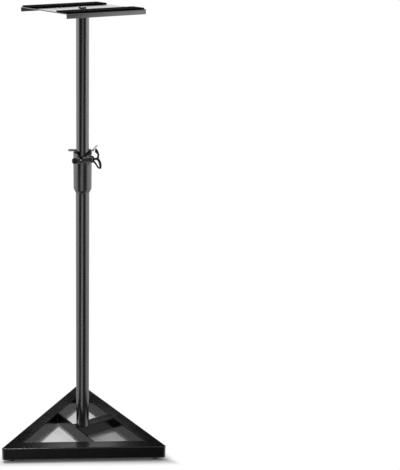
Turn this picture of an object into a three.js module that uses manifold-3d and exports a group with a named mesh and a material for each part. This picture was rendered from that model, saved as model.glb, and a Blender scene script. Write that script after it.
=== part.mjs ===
// A studio monitor stand: a triangular base of square tube, a pole of two telescoping tubes with a
// split clamp between them, and a folded top plate with two anti-slip strips.
// Millimetres, +Z up. The origin lies on the floor in the middle of the base's bounding box.
// The rear beam runs along X, and the corner opposite to it points to -Y.

import * as THREE from "three";
import { mergeVertices } from "three/addons/utils/BufferGeometryUtils.js";
import Module from "manifold-3d";

const wasm = await Module();
wasm.setup();

// ---- Driving dimensions -------------------------------------------------------------------------

const seatGap = 0.3; // between pieces that rest on or against each other
const slideGap = 0.15; // round a tube or shaft that slides or turns in another

// Base
const baseSide = 450; // one side of the triangle, to its sharp corners
const beamWidth = 35;
const beamHeight = 35;
const beamWall = 1.5;
const beamEdge = 3; // outer edge radius of the square tube
const tipFlat = 8; // width of the flat where a corner is cut off
const tipThickness = 1.5;
const tipEdge = 1.5; // rounding of the small plate that closes the corner
const centreBeamWidth = 32;
const crossBarThickness = 4.5;
const crossBarOffset = 22; // from the pole's axis to the bar's nearer face

// Feet
const footDiameter = 16;
const footHeight = 8;
const footTaper = 0.8; // how much smaller the foot is at the floor, on its radius
const footRecess = 3.2; // depth of the pocket for the screw's head
const footScrewShank = 4;
const footScrewHead = 7.5;
const footScrewHeadHeight = 2.4;
const footScrewLength = 12;

// Lower tube
const lowerDiameter = 35.5;
const lowerWall = 1.1;
const lowerLength = 750.4;
const plugHeight = 22;
const baseBoltShank = 10;
const baseBoltHead = 19;
const baseBoltHeadHeight = 4;
const baseWasherDiameter = 26;
const baseWasherThickness = 1.6;
const baseBoltEngaged = 16; // how far the bolt reaches into the plug

// Upper tube
const mastDiameter = 33;
const mastWall = 1.2;
const mastLength = 756;
const mastShowing = 354.6; // from the clamp's rim to the mast's top, as the stand is set
const pinHoleDiameter = 7;
const pinHolePitch = 50;
const pinHolesAbove = 5; // pin holes above the one at the rim, as the stand is set
const pinHolesBelow = 3;

// Guide bush and plugs in the mast
const bushHeight = 25;
const bushWall = 2.4;
const mastPlugFlange = 3;
const mastPlugInsert = 18;
const topPlugHeight = 25;

// Clamp collar
const collarTopDiameter = 48.4;
const collarBottomDiameter = 47;
const collarHeight = 109.7; // from its foot to the rim at the sides
const collarChamfer = 9.7; // height of the cone at the collar's foot
const collarFootWall = 0.8; // wall left at the very foot
const collarOverlap = 71; // how far the collar reaches down the lower tube
const rimScoop = 4.8; // how much lower the rim is in front than at the sides
const linerWall = 2;
const linerFlange = 4; // thickness of the liner's flange on the rim
const linerFlangeDiameter = 47;

// Window, slit and lugs of the collar
const clampTurn = -10; // degrees from the +Y axis to the clamp bolt
const boltOffset = 22.3; // from the mast's axis to the clamp bolt's axis
const boltDepth = 19.7; // from the rim down to the clamp bolt's axis
const lugRadius = 8;
const lugRoot = 6; // from the mast's axis to where the lugs start inside the collar's wall
const leftLugEnd = -26; // along the bolt, from the mast's axis
const rightLugEnd = 14.3;
const splitPlace = -16.6; // along the bolt, from the mast's axis to the middle of the slit
const slitWidth = 2;
const slitDepth = 44.7; // from the rim down to the slit's end
const windowDepth = 28.7; // from the rim down to the window's lower end
const windowRadius = 24; // rounding of the right flap's corner

// Clamp bolt, nut and handle
const clampBoltDiameter = 6;
const boltHoleGap = 0.35;
const capNutDiameter = 14.5;
const capNutLength = 10.5;
const capNutRoof = 2.5; // closed end of the cap
const clampWasherDiameter = 17;
const clampWasherThickness = 1.2;
const hubDiameter = 18;
const hubThickness = 5;
const hubChamfer = 1;
const hubRoom = 0.7; // round the hub, in the pocket cut into the collar
const handleBoltDepth = 4; // how far the bolt reaches into the hub
const handleReach = 23; // from the hub's inner face to the outermost point of the wings
const handleSpan = 55; // from wing tip to wing tip
const handleThickness = 4.6;
const handleRest = -35.5; // degrees the wings are turned from upright, about the bolt
const wingBow = 3.4; // how far the wings stand out past the middle and the tips
const wingWidth = 5;
const wingTip = 2.6;
const wingBulb = 8; // width of the thick end of the open wing
const wingNeck = 3.4; // width of the open wing where it is slimmest
const strutWidth = 2;
const strutBow = 6.5; // how far a strut swings away from the collar
const stemWidth = 5;

// Collar screw
const collarScrewDiameter = 6;
const collarScrewHead = 9;
const collarScrewHeight = 34; // above the collar's foot

// Locking pin
const pinDiameter = 6.4;
const pinLeft = 37; // from the mast's axis to the pin's rounded end
const pinRight = 31; // from the mast's axis to the end of the pin's tongue
const pinTurn = -30; // degrees from the +Y axis to the pin
const pinDepth = 3.2; // from the rim down to the stowed pin's axis
const pinPoint = 1.6; // how much the pin's end is smaller, on its radius
const tongueLength = 8; // flat end with the eye for the loop
const tongueThickness = 2.4;
const eyeDiameter = 2.3;
const loopDiameter = 17;
const loopWire = 1.8;
const loopLean = 48; // degrees that the loop stands up from the pin

// Top plate
const plateLength = 224; // along the folded lips
const plateWidth = 224; // from lip to lip
const plateThickness = 2.5;
const lipDepth = 12;
const bendRadius = 3.5; // outer radius of the folds
const plateHole = 9;
const plateWasherDiameter = 45;
const plateWasherThickness = 2;
const centreBoltShank = 8;
const centreBoltHead = 20;
const centreBoltHeadHeight = 2.2;
const centreBoltEngaged = 18; // how far the bolt reaches into the mast
const padWidth = 50;
const padThickness = 3;
const padInset = 1.5; // from the plate's side edges
const padCorner = 2;

// ---- Places worked out from them ----------------------------------------------------------------

const degree = Math.PI / 180;
const tubeSides = 48; // facets round the tubes
const boltSides = 24;
const screwSides = 16;

const cornerRadius = baseSide / Math.sqrt(3); // from the triangle's middle to a sharp corner
const sideDistance = cornerRadius / 2; // from the triangle's middle to a side
const tipDistance = cornerRadius - (tipFlat / 2) * Math.sqrt(3);
const footDistance = cornerRadius - beamWidth; // where the beams' middle lines meet
const poleY = (tipDistance - sideDistance) / 2;

const beamBottom = footHeight + seatGap;
const beamTop = beamBottom + beamHeight;
const lowerBottom = beamTop + seatGap;
const lowerTop = lowerBottom + lowerLength;
const lowerRadius = lowerDiameter / 2;
const lowerBore = lowerRadius - lowerWall;
const mastRadius = mastDiameter / 2;
const mastBore = mastRadius - mastWall;

const collarBottom = lowerTop - collarOverlap;
const rimTop = collarBottom + collarHeight;
const collarRadius = collarTopDiameter / 2;
const scoopRadius = (collarRadius ** 2 + rimScoop ** 2) / (2 * rimScoop);
const linerInner = mastRadius + slideGap;
const linerOuter = linerInner + linerWall;
const boltZ = rimTop - boltDepth;
const hubNear = rightLugEnd + clampWasherThickness + 2 * seatGap;

const pinZ = rimTop - pinDepth;
const pinBehind = mastRadius + seatGap + pinDiameter / 2;
const eyePlace = pinRight - pinDiameter / 2; // along the pin, from the mast's axis

const mastTop = rimTop + mastShowing;
const mastBottom = mastTop - mastLength;
const plateBottom = mastTop + plateWasherThickness + 2 * seatGap;
const plateTop = plateBottom + plateThickness;

// ---- Helpers ------------------------------------------------------------------------------------

// A closed geometry as a solid that can be joined and cut.
function solid(geometry) {
  geometry.deleteAttribute("normal");
  geometry.deleteAttribute("uv");
  const merged = mergeVertices(geometry, 1e-4);
  const vertProperties = new Float32Array(merged.attributes.position.array);
  const triVerts = new Uint32Array(merged.index.array);
  return new wasm.Manifold(new wasm.Mesh({ numProp: 3, vertProperties, triVerts }));
}

// Takes every tool in a list away from a solid.
function cutAll(shape, tools) {
  return tools.reduce((left, tool) => left.subtract(tool), shape);
}

// A solid as a geometry again.
function geometryOf(shape) {
  const mesh = shape.getMesh();
  const geometry = new THREE.BufferGeometry();
  geometry.setAttribute("position", new THREE.BufferAttribute(mesh.vertProperties, 3));
  geometry.setIndex(new THREE.BufferAttribute(mesh.triVerts, 1));
  return geometry;
}

// A round solid about the Z axis, from a closed list of [radius, height].
function revolved(profile, sides = tubeSides) {
  const points = profile.map(([radius, height]) => new THREE.Vector2(radius, height));
  const lathe = new THREE.LatheGeometry([...points, points[0].clone()], sides);
  return lathe.rotateX(Math.PI / 2);
}

// A disc or shaft about the Z axis, with both ends chamfered if asked.
function disc(radius, low, high, chamfer = 0, sides = tubeSides) {
  const edge = radius - chamfer;
  const flank = [[radius, low + chamfer], [radius, high - chamfer]];
  const rims = chamfer === 0 ? flank : [[edge, low], ...flank, [edge, high]];
  return revolved([[0, low], ...rims, [0, high]], sides);
}

// A ring about the Z axis.
function ring(inner, outer, low, high, sides = tubeSides) {
  return revolved([[inner, low], [outer, low], [outer, high], [inner, high]], sides);
}

// A flat outline in X and Y pushed up from low to high.
function slab(shape, low, high, curveSegments = 12) {
  const options = { depth: high - low, bevelEnabled: false, curveSegments };
  return new THREE.ExtrudeGeometry(shape, options).translate(0, 0, low);
}

function outline(points) {
  return new THREE.Shape(points.map(([x, y]) => new THREE.Vector2(x, y)));
}

// A rectangle with rounded corners about the origin.
function roundedRectangle(width, height, radius) {
  const x = width / 2 - radius;
  const y = height / 2 - radius;
  const quarter = Math.PI / 2;
  const shape = new THREE.Shape();
  shape.moveTo(-x, -y - radius);
  shape.absarc(x, -y, radius, -quarter, 0);
  shape.absarc(x, y, radius, 0, quarter);
  shape.absarc(-x, y, radius, quarter, 2 * quarter);
  shape.absarc(-x, -y, radius, 2 * quarter, 3 * quarter);
  return shape;
}

// Turns a geometry that was made along Z so that it lies along +Y, with its own Y pointing down.
function alongY(geometry) {
  return geometry.rotateX(-Math.PI / 2);
}

// Stands a flat outline up: its X runs along +Y, its Y upwards and its thickness along +X.
function upright(geometry) {
  return geometry.rotateX(Math.PI / 2).rotateZ(Math.PI / 2);
}

const finishes = {
  paint: { color: 0x1b1c1e, roughness: 0.42, metalness: 0.35 },
  gloss: { color: 0x141517, roughness: 0.3, metalness: 0.35 },
  rubber: { color: 0x0c0c0d, roughness: 0.85, metalness: 0 },
  foam: { color: 0x0a0a0b, roughness: 0.9, metalness: 0 },
  plastic: { color: 0x0b0b0c, roughness: 0.5, metalness: 0 },
  nylon: { color: 0x26262a, roughness: 0.6, metalness: 0 },
  steel: { color: 0xb9bcc0, roughness: 0.25, metalness: 1 },
};

function piece(name, finish, geometry) {
  const mesh = new THREE.Mesh(geometry, new THREE.MeshStandardMaterial(finishes[finish]));
  mesh.name = name;
  return mesh;
}

// ---- Base ---------------------------------------------------------------------------------------

// A square tube along Y, open at both ends, lying at the height of the base.
function squareTube(width, low, high) {
  const shape = roundedRectangle(width, beamHeight, beamEdge);
  const innerEdge = beamEdge - beamWall;
  shape.holes.push(roundedRectangle(width - 2 * beamWall, beamHeight - 2 * beamWall, innerEdge));
  return alongY(slab(shape, low, high, 4)).translate(0, 0, beamBottom + beamHeight / 2);
}

// A point of the rear beam's +X corner, by its distance from the middle of the base along the
// corner's bisector and by its distance across that.
function atMitre(distance, across) {
  const turn = 30 * degree;
  const x = distance * Math.cos(turn) - across * Math.sin(turn);
  const y = distance * Math.sin(turn) + across * Math.cos(turn);
  return [x, y];
}

// What the rear beam may fill: mitred to its neighbours, with room for the plates at its tips.
function rearWedge() {
  const tip = tipDistance - tipThickness - seatGap;
  const side = [
    atMitre(tip - 3 * beamWidth, seatGap / 2),
    atMitre(tip, seatGap / 2),
    atMitre(tip, beamWidth),
  ];
  const otherSide = side.map(([x, y]) => [-x, y]).reverse();
  return slab(outline([...side, ...otherSide]), 0, 2 * beamTop);
}

// The middle of a foot, at the corner that lies at a turn from -Y.
function footPlace(turn) {
  const angle = (turn - 90) * degree;
  return [footDistance * Math.cos(angle), footDistance * Math.sin(angle), 0];
}

// The holes for the foot screws, half in each of the two beams that meet there.
function footHoles() {
  const hole = solid(disc(footScrewShank / 2 + slideGap, 0, beamBottom + 2 * beamWall, 0, screwSides));
  return [0, 120, 240].map((turn) => hole.translate(footPlace(turn)));
}

function sideBeam() {
  const tube = squareTube(beamWidth, -baseSide / 2, baseSide / 2);
  tube.rotateZ(Math.PI / 2).translate(0, sideDistance - beamWidth / 2, 0);
  return cutAll(solid(tube).intersect(solid(rearWedge())), footHoles());
}

function sideBeams() {
  const beam = sideBeam();
  const names = [["rear_beam", 0], ["left_beam", 120], ["right_beam", 240]];
  return names.map(([name, turn]) => piece(name, "gloss", geometryOf(beam.rotate([0, 0, turn]))));
}

// The plates that close the three cut-off corners.
function tipPlates() {
  const width = tipFlat + 2 * tipThickness * Math.tan(30 * degree);
  const names = [["front_tip", 0], ["right_tip", 120], ["left_tip", 240]];
  return names.map(([name, turn]) => {
    const plate = alongY(slab(roundedRectangle(width, beamHeight, tipEdge), 0, tipThickness, 3));
    plate.translate(0, -tipDistance, beamBottom + beamHeight / 2);
    return piece(name, "gloss", plate.rotateZ(turn * degree));
  });
}

// The tube from the rear beam to the cross bar, drilled for the bolt that holds the pole.
function centreBeam() {
  const front = -crossBarOffset + seatGap;
  const rear = sideDistance - beamWidth - seatGap;
  const tube = solid(squareTube(centreBeamWidth, front, rear));
  const hole = solid(disc(baseBoltShank / 2 + slideGap, 0, 2 * beamTop, 0, boltSides));
  return piece("centre_beam", "gloss", geometryOf(tube.subtract(hole)));
}

// The flat bar on edge, its ends cut to the inner faces of the side beams.
function crossBar() {
  const halfAt = (y) => {
    const toCorner = y + cornerRadius - 2 * beamWidth;
    return toCorner * Math.tan(30 * degree) - seatGap / Math.cos(30 * degree);
  };
  const near = -crossBarOffset;
  const far = near - crossBarThickness;
  const ends = [[halfAt(far), far], [halfAt(near), near]];
  const otherEnds = ends.map(([x, y]) => [-x, y]).reverse();
  return piece("cross_bar", "gloss", slab(outline([...ends, ...otherEnds]), beamBottom, beamTop));
}

// A rubber foot with a pocket for its screw's head.
function foot(name) {
  const top = footDiameter / 2;
  const low = top - footTaper;
  const bore = footScrewShank / 2 + slideGap;
  const pocket = footScrewHead / 2 + seatGap;
  const body = revolved([
    [pocket, 0],
    [low - footTaper, 0],
    [low, footTaper],
    [top, footHeight - footTaper],
    [top, footHeight],
    [bore, footHeight],
    [bore, footRecess],
    [pocket, footRecess],
  ], boltSides);
  return piece(name, "rubber", body);
}

function footScrew(name) {
  const sole = footRecess - seatGap;
  const low = sole - footScrewHeadHeight;
  const shank = footScrewShank / 2;
  const head = footScrewHead / 2;
  const body = revolved([
    [0, low],
    [head * 0.75, low],
    [head, low + footScrewHeadHeight / 2],
    [head, sole],
    [shank, sole],
    [shank, sole + footScrewLength],
    [0, sole + footScrewLength],
  ], screwSides);
  return piece(name, "steel", body);
}

function feet() {
  const corners = [["front_foot", 0], ["right_foot", 120], ["left_foot", 240]];
  return corners.flatMap(([name, turn]) => {
    const pieces = [foot(name), footScrew(name + "_screw")];
    pieces.forEach((mesh) => mesh.position.set(...footPlace(turn)));
    return pieces;
  });
}

// ---- Lower tube ---------------------------------------------------------------------------------

function lowerTube() {
  return piece("lower_tube", "paint", ring(lowerBore, lowerRadius, lowerBottom, lowerTop));
}

// The threaded plug that the base bolt screws into.
function lowerPlug() {
  const outer = lowerBore - seatGap;
  const bore = baseBoltShank / 2 + slideGap;
  return piece("lower_plug", "steel", ring(bore, outer, lowerBottom, lowerBottom + plugHeight));
}

function baseWasher() {
  const high = beamBottom - seatGap;
  const bore = baseBoltShank / 2 + slideGap;
  const washer = ring(bore, baseWasherDiameter / 2, high - baseWasherThickness, high, boltSides);
  return piece("base_washer", "steel", washer);
}

function baseBolt() {
  const sole = beamBottom - baseWasherThickness - 2 * seatGap;
  const low = sole - baseBoltHeadHeight;
  const shank = baseBoltShank / 2;
  const head = baseBoltHead / 2;
  const body = revolved([
    [0, low],
    [head * 0.8, low],
    [head, low + baseBoltHeadHeight / 2],
    [head, sole],
    [shank, sole],
    [shank, lowerBottom + baseBoltEngaged],
    [0, lowerBottom + baseBoltEngaged],
  ], boltSides);
  return piece("base_bolt", "steel", body);
}

// ---- Clamp --------------------------------------------------------------------------------------
// The clamp is made with its bolt along Y and its open side at +X, and then turned as a whole.

// Everything above a surface that dips in front and behind: a broad cylinder along X.
function scoop(edgeHeight) {
  const cylinder = disc(scoopRadius, -2 * collarRadius, 2 * collarRadius, 0, 3 * tubeSides);
  const middle = edgeHeight - rimScoop + scoopRadius;
  return solid(cylinder.rotateY(Math.PI / 2).translate(0, 0, middle));
}

// The height of the rim at a distance from the mast's axis along the clamp bolt.
function rimAt(across) {
  return rimTop - rimScoop + scoopRadius - Math.sqrt(scoopRadius ** 2 - across ** 2);
}

// Pushes an outline, given along the bolt and upwards, from the mast's axis out past the lugs.
function throughFront(shape) {
  return solid(upright(slab(shape, 0, boltOffset + 2 * lugRadius, 16)));
}

// The window between the slit and the rounded corner of the right flap.
function windowCut() {
  const low = rimTop - windowDepth;
  const top = rimTop + linerFlange;
  const left = splitPlace - slitWidth / 2;
  const right = splitPlace + slitWidth / 2;
  const shape = new THREE.Shape();
  shape.moveTo(left, low);
  shape.lineTo(right, low);
  shape.absarc(right + windowRadius, low, windowRadius, Math.PI, Math.PI / 2, true);
  shape.lineTo(right + windowRadius, top);
  shape.lineTo(left, top);
  return throughFront(shape);
}

function slitCut() {
  const low = rimTop - slitDepth;
  const top = rimTop + linerFlange;
  const left = splitPlace - slitWidth / 2;
  const right = splitPlace + slitWidth / 2;
  return throughFront(outline([[left, low], [right, low], [right, top], [left, top]]));
}

// Both lugs in one block, rounded about the clamp bolt. The slit and the window part them.
function lugs() {
  const outer = boltOffset + lugRadius;
  const plan = outline([
    [lugRoot, leftLugEnd + lugRadius / 2],
    [boltOffset - lugRadius / 2, leftLugEnd],
    [outer, leftLugEnd],
    [outer, rightLugEnd],
    [lugRoot, rightLugEnd],
  ]);
  const block = solid(slab(plan, boltZ - lugRadius, boltZ + lugRadius));
  const side = new THREE.Shape();
  side.moveTo(0, -lugRadius);
  side.absarc(boltOffset, 0, lugRadius, -Math.PI / 2, Math.PI / 2);
  side.lineTo(0, lugRadius);
  const rounded = slab(side, 2 * leftLugEnd, -2 * leftLugEnd, 14);
  return block.intersect(solid(alongY(rounded).translate(0, 0, boltZ)));
}

// A round bar along the clamp bolt.
function boltBar(radius, from, to, sides = boltSides) {
  return alongY(disc(radius, from, to, 0, sides)).translate(boltOffset, 0, boltZ);
}

// Places a geometry made along Z so that it lies along the locking pin, behind the mast.
function alongPin(geometry) {
  return alongY(geometry).translate(-pinBehind, 0, pinZ).rotateZ(pinTurn * degree);
}

// The groove across the rim behind the mast, in which the locking pin lies.
function pinGroove() {
  const bar = disc(pinDiameter / 2 + seatGap, -collarTopDiameter, collarTopDiameter, 0, boltSides);
  return solid(alongPin(bar).rotateZ(-clampTurn * degree));
}

// Places a geometry made along Z so that it lies along the collar screw, on the far side.
function alongScrew(geometry) {
  return geometry.rotateY(-Math.PI / 2).translate(0, 0, collarBottom + collarScrewHeight);
}

function screwHole() {
  const hole = disc(collarScrewDiameter / 2 + slideGap, mastRadius, 2 * collarRadius, 0, screwSides);
  return solid(alongScrew(hole));
}

// The tapered collar with its two bores, before it is cut.
function collarBody() {
  const lowBore = lowerRadius + slideGap;
  const highBore = linerOuter + slideGap;
  const step = lowerTop + seatGap;
  return solid(revolved([
    [lowBore, collarBottom],
    [lowBore + collarFootWall, collarBottom],
    [collarBottomDiameter / 2, collarBottom + collarChamfer],
    [collarRadius, rimTop],
    [highBore, rimTop],
    [highBore, step],
    [lowBore, step],
  ]));
}

function clampCollar() {
  const far = 2 * collarTopDiameter;
  const tools = [
    solid(disc(linerOuter + slideGap, lowerTop + seatGap, 2 * rimTop)),
    scoop(rimTop - linerFlange),
    windowCut(),
    slitCut(),
    solid(boltBar(hubDiameter / 2 + hubRoom, rightLugEnd, far, tubeSides)),
    solid(boltBar(clampBoltDiameter / 2 + boltHoleGap, -far, far)),
    pinGroove(),
    screwHole(),
  ];
  return piece("clamp_collar", "paint", geometryOf(cutAll(collarBody().add(lugs()), tools)));
}

// The liner's sleeve stands on the collar's inner step; its flange covers the collar's rim.
function clampLiner() {
  const high = rimTop + linerFlange;
  const sleeve = solid(ring(linerInner, linerOuter, lowerTop + 2 * seatGap, high));
  const flange = solid(ring(linerInner, linerFlangeDiameter / 2, boltZ, high));
  const lid = flange.intersect(scoop(rimTop - linerFlange + seatGap));
  const tools = [scoop(rimTop), windowCut(), slitCut(), pinGroove()];
  return piece("clamp_liner", "plastic", geometryOf(cutAll(sleeve.add(lid), tools)));
}

// The screw grips the lower tube through the collar's wall.
function collarScrew() {
  const point = lowerRadius + seatGap;
  const sole = collarRadius + seatGap;
  const shank = collarScrewDiameter / 2;
  const head = collarScrewHead / 2;
  const body = revolved([
    [0, point],
    [shank, point],
    [shank, sole],
    [head, sole],
    [head, sole + 1.2],
    [head * 0.7, sole + 2.4],
    [0, sole + 2.8],
  ], screwSides);
  return piece("collar_screw", "steel", alongScrew(body));
}

// A closed cap over the nut, at the left lug.
function clampNut() {
  const near = -leftLugEnd + seatGap;
  const far = near + capNutLength;
  const radius = capNutDiameter / 2;
  const bore = clampBoltDiameter / 2 + slideGap;
  const body = revolved([
    [bore, near],
    [radius - 0.8, near],
    [radius, near + 0.8],
    [radius, far - 3],
    [radius - 1, far - 1],
    [radius - 3, far],
    [0, far],
    [0, far - capNutRoof],
    [bore, far - capNutRoof],
  ], boltSides);
  const placed = alongY(body).rotateZ(Math.PI).translate(boltOffset, 0, boltZ);
  return piece("clamp_nut", "plastic", placed);
}

function clampBolt() {
  const left = leftLugEnd - capNutLength + capNutRoof;
  const right = hubNear + handleBoltDepth;
  return piece("clamp_bolt", "steel", boltBar(clampBoltDiameter / 2, left, right));
}

function clampWasher() {
  const low = rightLugEnd + seatGap;
  const bore = clampBoltDiameter / 2 + slideGap;
  const washer = ring(bore, clampWasherDiameter / 2, low, low + clampWasherThickness, boltSides);
  return piece("clamp_washer", "steel", alongY(washer).translate(boltOffset, 0, boltZ));
}

// ---- T-handle -----------------------------------------------------------------------------------
// Its outline is drawn flat. The first number of a point goes along the bolt, from the hub's inner
// face, and the second goes along a wing, from the bolt's axis.

// One edge of the strut from the hub's rim to a wing's tip, set in from the handle's outline.
function strutEdge(inset) {
  const root = hubThickness - hubChamfer;
  const rootSide = hubDiameter / 2 - hubChamfer;
  const half = handleSpan / 2;
  return new THREE.CubicBezierCurve(
    new THREE.Vector2(root + inset, rootSide - inset),
    new THREE.Vector2(root + strutBow + inset, 2 * rootSide - inset),
    new THREE.Vector2(2 * root + inset, half - wingTip - inset),
    new THREE.Vector2(handleReach - wingBow - wingTip, half - inset),
  ).getPoints(8);
}

// The bowed back of one wing, from its tip to the middle of the handle.
function wingBack() {
  const middle = handleReach - wingBow;
  const half = handleSpan / 2;
  return new THREE.QuadraticBezierCurve(
    new THREE.Vector2(middle, half),
    new THREE.Vector2(handleReach + wingBow, half / 2),
    new THREE.Vector2(middle, 0),
  ).getPoints(8);
}

// The inner edge of the open wing, from the stem over its neck and bulb to its tip.
function hookEdge() {
  const middle = handleReach - wingBow;
  const half = handleSpan / 2;
  const edge = new THREE.SplineCurve([
    new THREE.Vector2(middle - wingWidth, stemWidth / 2),
    new THREE.Vector2(handleReach - wingNeck, 0.45 * half),
    new THREE.Vector2(handleReach - wingBulb, 0.72 * half),
    new THREE.Vector2(middle - wingTip, half),
  ]).getPoints(15);
  return [new THREE.Vector2(hubThickness - hubChamfer, stemWidth / 2), ...edge];
}

// The opening between the stem, the strut and the closed wing.
function handleOpening() {
  const half = handleSpan / 2;
  const middle = handleReach - wingBow;
  const innerEdge = new THREE.CubicBezierCurve(
    new THREE.Vector2(middle - wingTip, half - strutWidth),
    new THREE.Vector2(middle - wingTip, half / 2),
    new THREE.Vector2(middle, half / 3),
    new THREE.Vector2(middle - wingWidth, stemWidth / 2),
  ).getPoints(8);
  const stemRoot = new THREE.Vector2(hubThickness + strutWidth / 2, stemWidth / 3);
  return [...strutEdge(strutWidth), ...innerEdge.slice(1), stemRoot];
}

function mirrored(points) {
  return points.map(({ x, y }) => new THREE.Vector2(x, -y)).reverse();
}

function tHandle() {
  const flat = (points, thickness) => {
    return solid(upright(slab(new THREE.Shape(points), -thickness / 2, thickness / 2)));
  };
  const openWing = [...hookEdge(), ...wingBack()];
  const closedWing = mirrored([...strutEdge(0), ...wingBack()]);
  const wings = flat([...openWing, ...closedWing.slice(1)], handleThickness);
  const opening = flat(mirrored(handleOpening()), 2 * handleThickness);
  const hub = solid(alongY(disc(hubDiameter / 2, 0, hubThickness, hubChamfer, boltSides)));
  const boreEnd = handleBoltDepth + seatGap;
  const bore = disc(clampBoltDiameter / 2 + slideGap, -hubThickness, boreEnd, 0, boltSides);
  const joined = wings.subtract(opening).add(hub).subtract(solid(alongY(bore)));
  const handle = piece("t_handle", "plastic", geometryOf(joined));
  handle.rotation.y = handleRest * degree;
  handle.position.set(boltOffset, hubNear, boltZ);
  return handle;
}

// ---- Locking pin --------------------------------------------------------------------------------

// The flat tongue at the pin's end.
function pinTongue() {
  const side = pinDiameter / 2 - slideGap;
  const shape = new THREE.Shape();
  shape.moveTo(pinRight - 1.5 * tongueLength, -side);
  shape.absarc(pinRight - side, 0, side, -Math.PI / 2, Math.PI / 2);
  shape.lineTo(pinRight - 1.5 * tongueLength, side);
  return solid(slab(shape, -tongueThickness / 2, tongueThickness / 2).rotateY(-Math.PI / 2));
}

function lockingPin() {
  const radius = pinDiameter / 2;
  const shoulder = pinRight - tongueLength;
  const eye = disc(eyeDiameter / 2, -pinDiameter, pinDiameter, 0, screwSides).rotateY(Math.PI / 2);
  const shank = solid(revolved([
    [0, -pinLeft],
    [radius - pinPoint, -pinLeft],
    [radius, -pinLeft + 1.5 * pinPoint],
    [radius, shoulder - pinPoint],
    [radius - pinPoint / 2, shoulder],
    [0, shoulder],
  ], boltSides));
  const body = shank.add(pinTongue()).subtract(solid(eye.translate(0, 0, eyePlace)));
  return piece("locking_pin", "steel", alongPin(geometryOf(body)));
}

// The wire loop through the eye, which stands up from the pin.
function pinLoop() {
  const radius = loopDiameter / 2;
  const rise = radius * Math.sin(loopLean * degree);
  const reach = radius * Math.cos(loopLean * degree);
  const wire = new THREE.TorusGeometry(radius, loopWire / 2, 8, 32);
  wire.rotateX((loopLean - 90) * degree).translate(0, -rise, eyePlace + reach);
  return piece("pin_loop", "steel", alongPin(wire));
}

// ---- Mast and plate -----------------------------------------------------------------------------

// The holes for the locking pin, right through the mast. A pin that is in one of them lies on the
// rim, so one hole stands just above the rim.
function pinHoles() {
  const seat = (linerFlangeDiameter / 2) * Math.cos((pinTurn - clampTurn) * degree);
  const lowest = rimAt(seat) + pinDiameter / 2 - pinHolesBelow * pinHolePitch;
  const hole = disc(pinHoleDiameter / 2, -mastDiameter, mastDiameter, 0, screwSides);
  const placed = solid(alongY(hole).rotateZ(pinTurn * degree));
  return Array.from({ length: pinHolesBelow + 1 + pinHolesAbove }, (_, index) => {
    return placed.translate([0, 0, lowest + index * pinHolePitch]);
  });
}

function upperTube() {
  const tube = solid(ring(mastBore, mastRadius, mastBottom, mastTop));
  return piece("upper_tube", "paint", geometryOf(cutAll(tube, pinHoles())));
}

// The ring that guides the mast's lower end in the lower tube.
function guideBush() {
  const high = mastBottom - seatGap;
  const outer = lowerBore - slideGap;
  return piece("guide_bush", "nylon", ring(outer - bushWall, outer, high - bushHeight, high));
}

// The plug in the mast's lower end. Its flange holds the guide bush.
function mastPlug() {
  const flangeTop = mastBottom - bushHeight - 2 * seatGap;
  const flange = lowerBore - 4 * slideGap;
  const stem = lowerBore - bushWall - 2 * slideGap;
  const body = revolved([
    [0, flangeTop - mastPlugFlange],
    [flange, flangeTop - mastPlugFlange],
    [flange, flangeTop],
    [stem, flangeTop],
    [stem, mastBottom + mastPlugInsert],
    [0, mastBottom + mastPlugInsert],
  ]);
  return piece("mast_plug", "nylon", body);
}

function topPlug() {
  const bore = centreBoltShank / 2 + slideGap;
  const plug = ring(bore, mastBore - seatGap, mastTop - topPlugHeight, mastTop, boltSides);
  return piece("top_plug", "steel", plug);
}

function plateWasher() {
  const low = mastTop + seatGap;
  const bore = centreBoltShank / 2 + slideGap;
  const washer = ring(bore, plateWasherDiameter / 2, low, low + plateWasherThickness, tubeSides);
  return piece("plate_washer", "paint", washer);
}

// The folded sheet as seen along its lips: a flat top and a lip down each side.
function plateProfile() {
  const half = plateWidth / 2;
  const inner = bendRadius - plateThickness;
  const foldX = half - bendRadius;
  const foldZ = plateTop - bendRadius;
  const low = plateTop - lipDepth;
  const quarter = Math.PI / 2;
  const shape = new THREE.Shape();
  shape.moveTo(half, low);
  shape.absarc(foldX, foldZ, bendRadius, 0, quarter);
  shape.absarc(-foldX, foldZ, bendRadius, quarter, 2 * quarter);
  shape.lineTo(-half, low);
  shape.lineTo(-half + plateThickness, low);
  shape.absarc(-foldX, foldZ, inner, 2 * quarter, quarter, true);
  shape.absarc(foldX, foldZ, inner, quarter, 0, true);
  shape.lineTo(half - plateThickness, low);
  return shape;
}

function topPlate() {
  const sheet = slab(plateProfile(), -plateLength / 2, plateLength / 2, 5).rotateX(Math.PI / 2);
  const hole = solid(disc(plateHole / 2, mastTop, 2 * plateTop, 0, boltSides));
  return piece("top_plate", "paint", geometryOf(solid(sheet).subtract(hole)));
}

function centreBolt() {
  const sole = plateTop + seatGap;
  const low = mastTop - centreBoltEngaged;
  const head = centreBoltHead / 2;
  const shank = centreBoltShank / 2;
  const body = revolved([
    [0, low],
    [shank, low],
    [shank, sole],
    [head, sole],
    [head, sole + centreBoltHeadHeight / 3],
    [head * 0.8, sole + centreBoltHeadHeight],
    [0, sole + centreBoltHeadHeight],
  ], boltSides);
  return piece("centre_bolt", "gloss", body);
}

// An anti-slip strip beside a fold of the plate, on side 1 or -1.
function pad(name, side) {
  const low = plateTop + seatGap;
  const shape = roundedRectangle(padWidth, plateLength - 2 * padInset, padCorner);
  const strip = slab(shape, low, low + padThickness, 4);
  const middle = plateWidth / 2 - bendRadius - padWidth / 2;
  return piece(name, "foam", strip.translate(side * middle, 0, 0));
}

// ---- The whole stand ----------------------------------------------------------------------------

function collect(parent, ...children) {
  parent.add(...children);
  return parent;
}

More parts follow.
